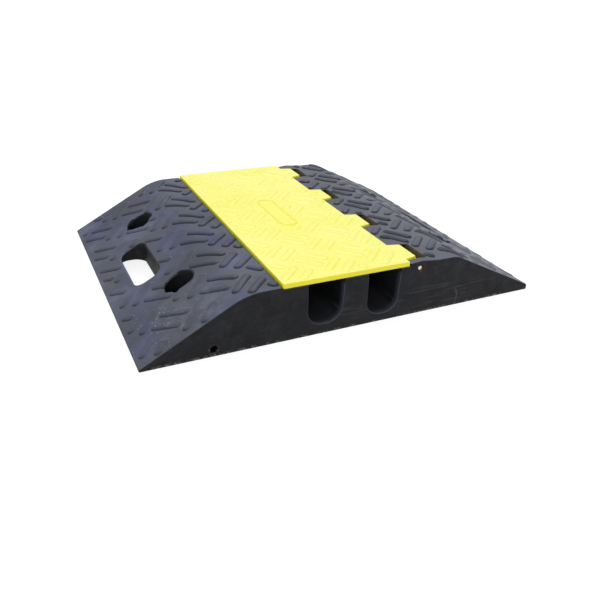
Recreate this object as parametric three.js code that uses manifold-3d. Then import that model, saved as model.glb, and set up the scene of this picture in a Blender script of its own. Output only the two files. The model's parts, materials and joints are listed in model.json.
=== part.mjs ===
import * as THREE from "three";
import { mergeVertices } from "three/addons/utils/BufferGeometryUtils.js";
import Module from "manifold-3d";

// A two-channel cable protector ramp: a rubber base, a hinged lid over two cable channels, and the
// hinge rod. Millimetres. X runs across the channels, Y along them, Z is up. The origin is on the
// ground under the middle of the base, and the lid's hinge is on the +X side.

// Base block and ramps
const overallWidth = 540;
const overallLength = 410;
const deckHeight = 71.5;
const entryShoulder = -145.5;
const entryShoulderRadius = 80;
const entryToeThickness = 3;
const entryToeRadius = 1;
const exitShoulder = 138.5;
const exitShoulderRadius = 30;
const exitToeThickness = 7.5;
const exitToeRadius = 5;

// Lid plate and the seat it rests in
const lidEdge = -103;
const lidThickness = 6;
const lidStand = 4;
const lidEndInset = 0.5;
const lidEdgeGap = 0.6;
const seatGap = 0.3;

// Cable channels: centre, width at the mouth, width where the bottom round starts, floor height
const channels = [
  { centre: -47.3, mouth: 48.4, narrow: 44.4, floor: 13.7 },
  { centre: 32, mouth: 46.6, narrow: 43, floor: 11.1 },
];
const channelBottomRadius = 19;

// Hinge: a rod through the base's fingers and through an eye under each of the lid's tabs
const tabCount = 4;
const firstTabFromEnd = 32;
const lastTabFromEnd = 42;
const tabRoot = 66.6;
const tabRootWidth = 45;
const tabTipWidth = 37.3;
const axisX = 83;
const axisBelowLidTop = 11.5;
const rodDiameter = 6;
const rodBoreGap = 0.3;
const rodEndInset = 1.5;
const eyeBoreGap = 0.45;
const eyeDiameter = 14;
const fingerTipGap = 1.4;
const eyeSideGap = 2.85;
const openTabSideGap = 0.1;
const tabRootSideGap = 2;
const eyeBackGap = 2;
const pocketSweepGap = 1.6;
const pocketCornerRadius = 8;
const pocketMouthGap = 2;
const lidOpeningDegrees = 100;

// Carrying openings through both ramps, each with a recess for the fingers under its rim
const handleFromToe = 34.5;
const handleWidth = 33;
const handleLength = 98;
const handleMiddle = -2;
const handleCornerRadius = 12;
const fingerRecessToeGrow = 1;
const fingerRecessDeckGrow = 7;
const fingerRecessEndGrow = 28;
const fingerRecessHeight = 13;
const fingerRecessRadius = 14;

// Anchor bolt pockets, two round ones in each ramp
const anchorFromToe = 77;
const anchorPitch = 203;
const anchorMiddle = 3.5;
const anchorPocketDiameter = 35;
const anchorSeatHeight = 14;
const anchorHoleDiameter = 16;

// Small blind hole in one end face
const ventX = -185.3;
const ventHeight = 9.4;
const ventDiameter = 8;
const ventDepth = 20;

// Tread: pairs of raised bars that lean one way, and pairs between them that lean the other way
const barLength = 40;
const barWidth = 10;
const barTaper = 5;
const barSpacing = 19;
const barHeight = 2;
const treadStepAcross = [59.4, 5.4];
const treadStepAlong = [6.8, 62.1];
const treadMargin = 3;
const entryTreadStart = [-129.6, 153.9];
const exitTreadStart = [116.1, 113.4];
const lidTreadStart = [-70.2, 151.2];
const tabTreadEnd = 70;

// Raised oval frame on the lid, left blank inside
const badgeCentre = [-20.8, 2.7];
const badgeWidth = 25;
const badgeLength = 103;
const badgeRim = 2.5;
const badgeHeight = 1;

// Arc fineness; how far a cut runs past a face, and one joined piece into another; and what keeps the
// two arcs of a fully round end from meeting
const arcStep = Math.PI / 22;
const roundSides = 24;
const pocketSides = 40;
const past = 10;
const sunk = 1;
const roundEndGap = 0.1;

// Sizes that follow from the ones above
const lidTop = deckHeight + lidStand;
const lidUnderside = lidTop - lidThickness;
const seatHeight = lidUnderside - seatGap;
const axisZ = lidTop - axisBelowLidTop;
const eyeRadius = eyeDiameter / 2;
const halfWidth = overallWidth / 2;
const halfLength = overallLength / 2;
const fingerTip = tabRoot + fingerTipGap;
const pocketHalfMouth = tabRootWidth / 2 + tabRootSideGap;
const tabPitch = (overallLength - firstTabFromEnd - lastTabFromEnd) / (tabCount - 1);
const lidOpening = THREE.MathUtils.degToRad(lidOpeningDegrees);
const pocketHalfWidth = Math.max(tabTipWidth / 2 + eyeSideGap, openTabHalfWidth() + openTabSideGap);
const ramps = [
  { side: "entry", toward: -1 },
  { side: "exit", toward: 1 },
];

const wasm = await Module();
wasm.setup();

function makeSolid(geometry) {
  const bare = geometry.clone();
  bare.deleteAttribute("normal");
  bare.deleteAttribute("uv");
  const merged = mergeVertices(bare);
  const vertProperties = new Float32Array(merged.attributes.position.array);
  const triVerts = new Uint32Array(merged.index.array);
  return new wasm.Manifold(new wasm.Mesh({ numProp: 3, vertProperties, triVerts }));
}

function makeGeometry(solid) {
  const mesh = solid.getMesh();
  const geometry = new THREE.BufferGeometry();
  geometry.setAttribute("position", new THREE.BufferAttribute(new Float32Array(mesh.vertProperties), 3));
  geometry.setIndex(new THREE.BufferAttribute(new Uint32Array(mesh.triVerts), 1));
  geometry.computeVertexNormals();
  return geometry;
}

// Corners are [x, y, radius], in order round the outline; each round is an arc tangent to both sides.
function roundedOutline(corners) {
  const points = [];
  corners.forEach(([x, y, radius = 0], index) => {
    const corner = new THREE.Vector2(x, y);
    if (radius === 0) {
      points.push(corner);
      return;
    }
    const before = corners[(index + corners.length - 1) % corners.length];
    const after = corners[(index + 1) % corners.length];
    const toBefore = new THREE.Vector2(before[0], before[1]).sub(corner).normalize();
    const toAfter = new THREE.Vector2(after[0], after[1]).sub(corner).normalize();
    const halfAngle = Math.acos(toBefore.dot(toAfter)) / 2;
    const inward = toBefore.clone().add(toAfter).normalize();
    const centre = corner.clone().addScaledVector(inward, radius / Math.sin(halfAngle));
    const start = corner.clone().addScaledVector(toBefore, radius / Math.tan(halfAngle));
    const turn = -Math.sign(toBefore.cross(toAfter)) * (Math.PI - 2 * halfAngle);
    const steps = Math.max(2, Math.ceil(Math.abs(turn) / arcStep));
    for (let step = 0; step <= steps; step += 1) {
      points.push(start.clone().rotateAround(centre, (turn * step) / steps));
    }
  });
  return points;
}

function rectangle(left, right, near, far, radius = 0) {
  return roundedOutline([
    [left, near, radius],
    [right, near, radius],
    [right, far, radius],
    [left, far, radius],
  ]);
}

// A plan outline, raised from one height to another.
function raise(outline, bottom, top) {
  const geometry = new THREE.ExtrudeGeometry(new THREE.Shape(outline), {
    depth: top - bottom,
    bevelEnabled: false,
  });
  geometry.translate(0, 0, bottom);
  return makeSolid(geometry);
}

// A section drawn in X and Z, run along Y about a middle.
function runAlong(section, length, middle = 0) {
  const geometry = new THREE.ExtrudeGeometry(new THREE.Shape(section), {
    depth: length,
    bevelEnabled: false,
  });
  geometry.rotateX(Math.PI / 2);
  geometry.translate(0, middle + length / 2, 0);
  return makeSolid(geometry);
}

function rodAlong(radius, length, x, y, z) {
  const geometry = new THREE.CylinderGeometry(radius, radius, length, roundSides);
  geometry.translate(x, y, z);
  return makeSolid(geometry);
}

function tabCentres() {
  const centres = [];
  for (let tab = 0; tab < tabCount; tab += 1) {
    centres.push(-halfLength + firstTabFromEnd + tab * tabPitch);
  }
  return centres;
}

// The base's section, with both ramps and the deck between them.
function baseSection(lift = 0) {
  return roundedOutline([
    [-halfWidth, 0],
    [halfWidth, 0],
    [halfWidth, exitToeThickness + lift, exitToeRadius],
    [exitShoulder, deckHeight + lift, exitShoulderRadius],
    [entryShoulder, deckHeight + lift, entryShoulderRadius],
    [-halfWidth, entryToeThickness + lift, entryToeRadius],
  ]);
}

function barOutline(centre, lean) {
  const half = barLength / 2;
  const straight = half - barTaper;
  const corners = [
    [half, 0],
    [straight, barWidth / 2],
    [-straight, barWidth / 2],
    [-half, 0],
    [-straight, -barWidth / 2],
    [straight, -barWidth / 2],
  ];
  const middle = new THREE.Vector2(centre[0], centre[1]);
  const origin = new THREE.Vector2(0, 0);
  return corners.map(([x, y]) => new THREE.Vector2(x, y).rotateAround(origin, lean).add(middle));
}

// The two bars of one pair, side by side across their own length.
function barPair(centre, lean) {
  return [-0.5, 0.5].map((share) => {
    const shift = share * barSpacing;
    return barOutline([centre[0] - shift * Math.sin(lean), centre[1] + shift * Math.cos(lean)], lean);
  });
}

// Every bar whose middle lies in the area, from a lattice that starts at the given point.
function treadBars(start, area, bottom, top) {
  const bars = [];
  const reach = Math.ceil((overallWidth + overallLength) / treadStepAcross[0]);
  for (let across = -reach; across <= reach; across += 1) {
    for (let along = -reach; along <= reach; along += 1) {
      for (const half of [0, 0.5]) {
        const column = across + half;
        const row = along + half;
        const centre = [
          start[0] + column * treadStepAcross[0] + row * treadStepAlong[0],
          start[1] + column * treadStepAcross[1] + row * treadStepAlong[1],
        ];
        const reachesX = centre[0] > area.left - barLength && centre[0] < area.right + barLength;
        const reachesY = Math.abs(centre[1]) < area.halfLength + barLength;
        if (reachesX && reachesY) {
          const lean = half === 0 ? -Math.PI / 4 : Math.PI / 4;
          bars.push(...barPair(centre, lean).map((outline) => raise(outline, bottom, top)));
        }
      }
    }
  }
  const field = raise(rectangle(area.left, area.right, -area.halfLength, area.halfLength), bottom, top);
  return wasm.Manifold.union(bars).intersect(field);
}

function handleOutline(toward, toeGrow = 0, deckGrow = 0, endGrow = 0, radius = handleCornerRadius) {
  const toeSide = toward * (halfWidth - handleFromToe + toeGrow);
  const deckSide = toward * (halfWidth - handleFromToe - handleWidth - deckGrow);
  const near = handleMiddle - handleLength / 2 - endGrow;
  const far = handleMiddle + handleLength / 2 + endGrow;
  return rectangle(Math.min(toeSide, deckSide), Math.max(toeSide, deckSide), near, far, radius);
}

// The openings cut through these bars where they cross a rim.
function baseTread() {
  const entry = treadBars(
    entryTreadStart,
    { left: -halfWidth + treadMargin, right: lidEdge - treadMargin, halfLength: halfLength - treadMargin },
    0,
    lidTop,
  );
  const exit = treadBars(
    exitTreadStart,
    { left: fingerTip + treadMargin, right: halfWidth - treadMargin, halfLength: halfLength - treadMargin },
    0,
    lidTop,
  );
  return entry.add(exit).intersect(runAlong(baseSection(barHeight), overallLength));
}

function channelCut(channel) {
  const slope = (channel.mouth - channel.narrow) / 2;
  const half = channel.mouth / 2;
  const low = half - slope;
  const section = roundedOutline([
    [channel.centre - low, channel.floor, channelBottomRadius],
    [channel.centre + low, channel.floor, channelBottomRadius],
    [channel.centre + half, seatHeight + past],
    [channel.centre - half, seatHeight + past],
  ]);
  return runAlong(section, overallLength + 2 * past);
}

function lidSeatCut() {
  const outline = rectangle(lidEdge - lidEdgeGap, fingerTip, -halfLength - past, halfLength + past);
  return raise(outline, seatHeight, lidTop + past);
}

// How far beyond the axis the fully open lid, with its tread, crosses the deck's height.
function openLidReach() {
  const deckAboveAxis = deckHeight - axisZ;
  const treadAboveAxis = axisBelowLidTop + barHeight;
  return (treadAboveAxis - deckAboveAxis * Math.cos(lidOpening)) / Math.sin(lidOpening);
}

// Half the width of a tab where it passes the top of the deck's tread with the lid fully open.
function openTabHalfWidth() {
  const treadAboveAxis = deckHeight + barHeight - axisZ;
  const alongTab = (treadAboveAxis - axisBelowLidTop * Math.cos(lidOpening)) / Math.sin(lidOpening);
  const taper = (tabRootWidth - tabTipWidth) / 2 / (axisX - tabRoot);
  return tabTipWidth / 2 + taper * alongTab;
}

// Room for one tab's eye, and for the tab's tip as the lid swings up and over.
function tabPocketCut(middle) {
  const eyeRoom = eyeRadius + eyeBackGap;
  const tipRoom = axisBelowLidTop + pocketSweepGap;
  const pocketMouth = openLidReach() + pocketMouthGap;
  const section = roundedOutline([
    [axisX - eyeRoom, lidTop + past],
    [axisX - eyeRoom, axisZ - eyeRoom, pocketCornerRadius],
    [axisX + tipRoom, axisZ - eyeRoom, pocketCornerRadius],
    [axisX + tipRoom, axisZ],
    [axisX + pocketMouth, deckHeight],
    [axisX + pocketMouth, lidTop + past],
  ]);
  const well = runAlong(section, 2 * pocketHalfWidth, middle);
  const throat = axisX - eyeRadius;
  const flare = [
    [tabRoot, -pocketHalfMouth],
    [throat, -pocketHalfWidth],
    [throat, pocketHalfWidth],
    [tabRoot, pocketHalfMouth],
  ].map(([x, y]) => new THREE.Vector2(x, middle + y));
  return well.add(raise(flare, seatHeight, lidTop + past));
}

function handleCut(toward) {
  const throughHole = raise(handleOutline(toward), -past, lidTop + past);
  const recess = handleOutline(
    toward,
    fingerRecessToeGrow,
    fingerRecessDeckGrow,
    fingerRecessEndGrow,
    fingerRecessRadius,
  );
  return throughHole.add(raise(recess, -past, fingerRecessHeight));
}

function uprightRound(diameter, sides, bottom, top, x, y) {
  const geometry = new THREE.CylinderGeometry(diameter / 2, diameter / 2, top - bottom, sides);
  geometry.rotateX(Math.PI / 2);
  geometry.translate(x, y, (bottom + top) / 2);
  return makeSolid(geometry);
}

function anchorCut(toward, side) {
  const x = toward * (halfWidth - anchorFromToe);
  const y = anchorMiddle + (side * anchorPitch) / 2;
  const pocket = uprightRound(anchorPocketDiameter, pocketSides, anchorSeatHeight, lidTop + past, x, y);
  return pocket.add(uprightRound(anchorHoleDiameter, roundSides, -past, anchorSeatHeight + past, x, y));
}

function ventCut() {
  return rodAlong(ventDiameter / 2, 2 * ventDepth, ventX, -halfLength, ventHeight);
}

function rodBoreCut() {
  return rodAlong(rodDiameter / 2 + rodBoreGap, overallLength + 2 * past, axisX, 0, axisZ);
}

function baseSolid() {
  const cuts = [lidSeatCut(), rodBoreCut(), ventCut()];
  cuts.push(...channels.map(channelCut));
  cuts.push(...tabCentres().map(tabPocketCut));
  for (const { toward } of ramps) {
    cuts.push(handleCut(toward));
    for (const side of [-1, 1]) {
      cuts.push(anchorCut(toward, side));
    }
  }
  const block = runAlong(baseSection(), overallLength).add(baseTread());
  return block.subtract(wasm.Manifold.union(cuts));
}

// The plate's plan, with a tapered tab at each of the hinge eyes.
function lidOutline() {
  const halfLid = halfLength - lidEndInset;
  const points = [
    [lidEdge, -halfLid],
    [tabRoot, -halfLid],
  ];
  for (const middle of tabCentres()) {
    points.push([tabRoot, middle - tabRootWidth / 2]);
    points.push([axisX, middle - tabTipWidth / 2]);
    points.push([axisX, middle + tabTipWidth / 2]);
    points.push([tabRoot, middle + tabRootWidth / 2]);
  }
  points.push([tabRoot, halfLid], [lidEdge, halfLid]);
  return points.map(([x, y]) => new THREE.Vector2(x, y));
}

function ovalOutline(shrink) {
  const half = badgeWidth / 2 - shrink;
  const reach = badgeLength / 2 - shrink;
  const [x, y] = badgeCentre;
  return rectangle(x - half, x + half, y - reach, y + reach, half - roundEndGap);
}

function badge() {
  const outer = raise(ovalOutline(0), lidUnderside + sunk, lidTop + badgeHeight);
  return outer.subtract(raise(ovalOutline(badgeRim), lidTop, lidTop + past));
}

function lidTread() {
  const area = {
    left: lidEdge + treadMargin,
    right: tabTreadEnd,
    halfLength: halfLength - lidEndInset - treadMargin,
  };
  const bars = treadBars(lidTreadStart, area, lidUnderside + sunk, lidTop + barHeight);
  const plan = raise(lidOutline(), lidUnderside, lidTop + past);
  return bars.intersect(plan).subtract(raise(ovalOutline(-treadMargin), 0, lidTop + past));
}

// The eye hangs under the tab and is as wide as the tab's tip.
function eye(middle) {
  const round = rodAlong(eyeRadius, tabTipWidth, axisX, middle, axisZ);
  const neck = [
    [axisX - eyeRadius, axisZ],
    [axisX, axisZ],
    [axisX, lidUnderside + sunk],
    [axisX - eyeRadius, lidUnderside + sunk],
  ].map(([x, z]) => new THREE.Vector2(x, z));
  return round.add(runAlong(neck, tabTipWidth, middle));
}

function lidSolid() {
  const plate = raise(lidOutline(), lidUnderside, lidTop);
  const bore = rodAlong(rodDiameter / 2 + eyeBoreGap, overallLength + past, axisX, 0, axisZ);
  const parts = [plate, badge(), lidTread(), ...tabCentres().map(eye)];
  return wasm.Manifold.union(parts).subtract(bore);
}

function rodGeometry() {
  const length = overallLength - 2 * rodEndInset;
  const geometry = new THREE.CylinderGeometry(rodDiameter / 2, rodDiameter / 2, length, roundSides);
  geometry.deleteAttribute("normal");
  geometry.deleteAttribute("uv");
  return mergeVertices(geometry);
}

function namedMesh(name, geometry, material) {
  const mesh = new THREE.Mesh(geometry, material);
  mesh.name = name;
  return mesh;
}

function blackRubber() {
  return new THREE.MeshStandardMaterial({ color: 0x2c2d31, roughness: 0.85, metalness: 0 });
}

function yellowLidPlastic() {
  return new THREE.MeshStandardMaterial({ color: 0xf2e32a, roughness: 0.5, metalness: 0 });
}

function plainSteel() {
  return new THREE.MeshStandardMaterial({ color: 0xa8a8a8, roughness: 0.4, metalness: 1 });
}

function cableRamp() {
  const ramp = new THREE.Group();
  ramp.add(namedMesh("base", makeGeometry(baseSolid()), blackRubber()));
  ramp.add(namedMesh("lid", makeGeometry(lidSolid()), yellowLidPlastic()));
  const rod = namedMesh("hinge_rod", rodGeometry(), plainSteel());
  rod.position.set(axisX, 0, axisZ);
  ramp.add(rod);
  return ramp;
}

export default cableRamp();
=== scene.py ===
import itertools
import json
import math

import bmesh
import bpy
from mathutils import Matrix, Vector


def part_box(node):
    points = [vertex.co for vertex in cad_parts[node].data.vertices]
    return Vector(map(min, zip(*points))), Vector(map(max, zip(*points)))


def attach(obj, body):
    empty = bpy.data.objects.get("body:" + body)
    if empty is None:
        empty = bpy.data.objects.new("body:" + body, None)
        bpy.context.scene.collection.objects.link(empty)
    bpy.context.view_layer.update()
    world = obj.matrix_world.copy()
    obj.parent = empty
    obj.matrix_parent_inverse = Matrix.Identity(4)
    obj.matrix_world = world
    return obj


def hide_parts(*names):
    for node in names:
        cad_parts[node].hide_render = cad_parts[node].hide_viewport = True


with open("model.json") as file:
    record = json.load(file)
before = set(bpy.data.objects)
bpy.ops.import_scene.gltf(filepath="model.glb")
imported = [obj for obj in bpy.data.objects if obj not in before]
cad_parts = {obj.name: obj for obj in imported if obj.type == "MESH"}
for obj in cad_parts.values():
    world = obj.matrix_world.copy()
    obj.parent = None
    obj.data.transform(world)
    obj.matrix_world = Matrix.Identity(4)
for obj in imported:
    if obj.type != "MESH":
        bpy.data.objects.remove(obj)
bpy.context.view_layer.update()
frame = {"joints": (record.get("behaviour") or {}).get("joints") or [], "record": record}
print("frame loaded")

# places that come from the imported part, in metres
mm = 0.001
baseLow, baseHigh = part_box("base")
lidLow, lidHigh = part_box("lid")
rodLow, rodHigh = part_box("hinge_rod")
hinge = Vector(frame["joints"][0]["pos_m"])
openings = {o["name"]: [Vector(c) for c in o["box_m"]] for o in frame["record"]["physics"]["openings"]}

# place in metres, angles in degrees, lens in millimetres
cameraView = {
    "place": (-0.37459, -0.78621, 0.40787),
    "heading": 26.741,
    "lookDown": 28.669,
    "tilt": 2.716,
    "lens": 38.932,
}


def makeCamera():
    heading = math.radians(cameraView["heading"])
    down = math.radians(cameraView["lookDown"])
    flat = Vector((math.sin(heading), math.cos(heading), 0))
    forward = flat * math.cos(down) - Vector((0, 0, math.sin(down)))
    level = forward.cross(Vector((0, 0, 1))).normalized()
    right = Matrix.Rotation(-math.radians(cameraView["tilt"]), 3, forward) @ level
    up = right.cross(forward)
    data = bpy.data.cameras.new("mainCamera")
    data.lens = cameraView["lens"]
    data.clip_end = 50
    camera = bpy.data.objects.new("mainCamera", data)
    turn = Matrix((right, up, -forward)).transposed()
    camera.matrix_world = Matrix.Translation(cameraView["place"]) @ turn.to_4x4()
    bpy.context.scene.collection.objects.link(camera)
    bpy.context.scene.camera = camera


makeCamera()
print("camera placed")


# the turn between two points of a round, in degrees
arcStep = {"cutter": 5, "topLine": 1.5, "moulding": 2.5, "lid": 20}


# an outline whose corners are (x, y, radius), every round drawn as an arc
def roundedOutline(corners, step=arcStep["cutter"]):
    points = []
    for i, corner in enumerate(corners):
        p = Vector(corner[:2])
        radius = corner[2] if len(corner) > 2 else 0
        if radius == 0:
            points.append(p)
            continue
        before = (Vector(corners[i - 1][:2]) - p).normalized()
        after = (Vector(corners[(i + 1) % len(corners)][:2]) - p).normalized()
        half = math.acos(before.dot(after)) / 2
        centre = p + (before + after).normalized() * (radius / math.sin(half))
        start = p + before * (radius / math.tan(half)) - centre
        turn = -math.copysign(math.pi - 2 * half, before.x * after.y - before.y * after.x)
        steps = max(2, math.ceil(abs(turn) / math.radians(step)))
        for k in range(steps + 1):
            points.append(centre + Matrix.Rotation(turn * k / steps, 2) @ start)
    return points


def roundedBox(left, right, near, far, radius):
    corners = [(left, near, radius), (right, near, radius), (right, far, radius), (left, far, radius)]
    return roundedOutline(corners)


def circle(x, y, radius, count=48):
    turns = [2 * math.pi * k / count for k in range(count)]
    return [Vector((x + radius * math.cos(a), y + radius * math.sin(a))) for a in turns]


def linkMesh(name, bm):
    mesh = bpy.data.meshes.new(name)
    bm.to_mesh(mesh)
    bm.free()
    obj = bpy.data.objects.new(name, mesh)
    bpy.context.scene.collection.objects.link(obj)
    return obj


# a closed solid between two copies of an outline, drawn in plan or, with upright set, in X and Z
def prism(outline, low, high, upright=False):
    bm = bmesh.new()
    rings = []
    for level in (low, high):
        places = [(p.x, level, p.y) if upright else (p.x, p.y, level) for p in outline]
        rings.append([bm.verts.new(place) for place in places])
    bm.faces.new(rings[0])
    bm.faces.new(rings[1])
    count = len(outline)
    for i in range(count):
        j = (i + 1) % count
        bm.faces.new((rings[0][i], rings[0][j], rings[1][j], rings[1][i]))
    bmesh.ops.recalc_face_normals(bm, faces=bm.faces)
    return linkMesh("solid", bm)


# how close points are welded, the edge angles that are rounded and kept sharp, and how the normals lean
shading = {
    "weld": 0.01 * mm,
    "roundedFrom": 28,
    "sharpFrom": 40,
    "faceWeight": 80,
}


def settle(obj):
    shown = obj.evaluated_get(bpy.context.evaluated_depsgraph_get())
    mesh = bpy.data.meshes.new_from_object(shown)
    obj.modifiers.clear()
    obj.data = mesh


def combine(target, others, operation):
    for other in others:
        step = target.modifiers.new(operation, "BOOLEAN")
        step.operation = operation
        step.solver = "EXACT"
        step.object = other
    settle(target)
    for other in others:
        bpy.data.objects.remove(other)


# rounds every sharp outward edge; isRim picks the edges that get the wider round
def softenEdges(obj, width, segments, rimWidth=0, isRim=None):
    bm = bmesh.new()
    bm.from_mesh(obj.data)
    bmesh.ops.remove_doubles(bm, verts=bm.verts, dist=shading["weld"])
    bmesh.ops.recalc_face_normals(bm, faces=bm.faces)
    limit = math.radians(shading["roundedFrom"])
    for chosen, size in ((True, rimWidth), (False, width)):
        if not size:
            continue
        edges = []
        for edge in bm.edges:
            if len(edge.link_faces) == 2 and edge.calc_face_angle_signed(0) > limit:
                middle = (edge.verts[0].co + edge.verts[1].co) / 2
                if bool(isRim and isRim(middle)) == chosen:
                    edges.append(edge)
        bmesh.ops.bevel(
            bm, geom=edges, offset=size, offset_type="OFFSET", segments=segments, profile=0.5,
            affect="EDGES", clamp_overlap=False, miter_outer="ARC", loop_slide=True,
        )
    bm.to_mesh(obj.data)
    bm.free()


treadPattern = {
    "stepAcross": Vector((59.4, 5.4)) * mm,
    "stepAlong": Vector((6.8, 62.1)) * mm,
    "halfLength": 20 * mm,
    "halfWidth": 5.2 * mm,
    "spacing": 19 * mm,
    "height": 2.3 * mm,
    "shortestStraight": 1 * mm,
    "fieldReach": 12,
    "samplesEachWay": 20,
    "spineStep": 8 * mm,
    "entryStart": Vector((-126.6, 158.4)) * mm,
    "exitStart": Vector((123.1, 122)) * mm,
    "lidStart": Vector((-70.2, 151.2)) * mm,
    "roundSteps": 6,
    # how far in from the foot each ring lies, and how high it stands, as shares
    "rings": ((0, -0.5), (0, 0.0), (0.1, 0.33), (0.25, 0.62), (0.42, 0.82), (0.62, 0.95), (0.8, 1.0)),
}


# every bar of a field, shortened to where the room beside it is at least its own half width
def barRuns(start, low, high, room):
    t = treadPattern
    runs = []
    lean = {0: -math.pi / 4, 0.5: math.pi / 4}
    reach = t["halfLength"] - t["halfWidth"]
    count = t["samplesEachWay"]
    samples = [reach * (k / count - 1) for k in range(2 * count + 1)]
    steps = range(-t["fieldReach"], t["fieldReach"] + 1)
    for across, along, shift in itertools.product(steps, steps, lean):
        centre = start + t["stepAcross"] * (across + shift) + t["stepAlong"] * (along + shift)
        inX = low.x - 2 * reach < centre.x < high.x + 2 * reach
        inY = low.y - 2 * reach < centre.y < high.y + 2 * reach
        if not (inX and inY):
            continue
        direction = Vector((math.cos(lean[shift]), math.sin(lean[shift])))
        side = Vector((-direction.y, direction.x)) * t["spacing"] / 2
        for middle in (centre - side, centre + side):
            run = longestRun([middle + direction * s for s in samples], room, t["halfWidth"])
            if run and (run[-1] - run[0]).length >= t["shortestStraight"]:
                runs.append((run[0], run[-1], shift == 0))
    return runs


def longestRun(spots, room, half):
    best, run = [], []
    for spot in spots:
        run = run + [spot] if room(spot.x, spot.y) >= half else []
        best = run if len(run) > len(best) else best
    return best


# one rounded bar as a closed shell whose foot reaches below the surface
def addBar(bm, begin, end, surface, height):
    direction = (end - begin).normalized()
    side = Vector((-direction.y, direction.x))
    steps = treadPattern["roundSteps"]
    straight = max(1, round((end - begin).length / treadPattern["spineStep"]))
    rings = []
    for inset, lift in treadPattern["rings"]:
        radius = treadPattern["halfWidth"] * (1 - inset)
        spine = []
        for k in range(steps + 1):
            a = math.pi / 2 * k / steps
            spine.append((end, radius * math.cos(a), radius * math.sin(a)))
        for k in range(1, straight):
            spine.append((end.lerp(begin, k / straight), 0, radius))
        for k in range(steps + 1):
            a = math.pi / 2 * (1 + k / steps)
            spine.append((begin, radius * math.cos(a), radius * math.sin(a)))
        halves = []
        for sign in (1, -1):
            line = []
            for centre, along, beside in spine:
                spot = centre + direction * along + side * (sign * beside)
                z, slope = surface(spot.x)
                normal = Vector((-slope, 0, 1)).normalized()
                line.append(Vector((spot.x, spot.y, z)) + normal * (lift * height(spot.x)))
            halves.append(line)
        upper = [bm.verts.new(p) for p in halves[0]]
        lower = [upper[0]] + [bm.verts.new(p) for p in halves[1][1:-1]] + [upper[-1]]
        rings.append((upper, lower))
    count = len(rings[0][0])
    for (upA, loA), (upB, loB) in zip(rings, rings[1:]):
        for i in range(count - 1):
            bm.faces.new((upA[i], upA[i + 1], upB[i + 1], upB[i]))
            bm.faces.new((loA[i + 1], loA[i], loB[i], loB[i + 1]))
    for (upper, lower), flip in ((rings[-1], False), (rings[0], True)):
        for i in range(count - 1):
            corners = list(dict.fromkeys((upper[i], upper[i + 1], lower[i + 1], lower[i])))
            bm.faces.new(corners[::-1] if flip else corners)


def makeBars(runs, surface, height):
    bm = bmesh.new()
    for run in runs:
        addBar(bm, run[0], run[1], surface, height)
    bmesh.ops.recalc_face_normals(bm, faces=bm.faces)
    return linkMesh("treadBars", bm)


# adds the other mesh's faces to the target and gives the number of its first point
def join(target, other):
    first = len(target.data.vertices)
    bm = bmesh.new()
    bm.from_mesh(target.data)
    bm.from_mesh(other.data)
    bm.to_mesh(target.data)
    bm.free()
    bpy.data.objects.remove(other)
    return first


# adds the bars and marks, for the materials, how far up a bar each point lies and which way it leans
def addTread(obj, runs, surface, height, cutters=None):
    lengthwise = makeBars([run for run in runs if not run[2]], surface, height)
    crosswise = makeBars([run for run in runs if run[2]], surface, height)
    for bars in (lengthwise, crosswise):
        if cutters:
            combine(bars, cutters(), "DIFFERENCE")
    first = join(obj, lengthwise)
    second = join(obj, crosswise)
    tread = obj.data.attributes.new("tread", "FLOAT", "POINT")
    leaning = obj.data.attributes.new("crosswise", "FLOAT", "POINT")
    for i, vertex in enumerate(obj.data.vertices):
        place = vertex.co
        z, slope = surface(place.x)
        above = (place.z - z) * math.cos(math.atan(slope)) / height(place.x)
        tread.data[i].value = min(1.0, max(0.0, above)) if i >= first else 0.0
        leaning.data[i].value = 1.0 if i >= second else 0.0


def finishShading(obj):
    for face in obj.data.polygons:
        face.use_smooth = True
    obj.data.set_sharp_from_angle(angle=math.radians(shading["sharpFrom"]))
    weigh = obj.modifiers.new("normals", "WEIGHTED_NORMAL")
    weigh.keep_sharp = True
    weigh.weight = shading["faceWeight"]
    settle(obj)


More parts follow.
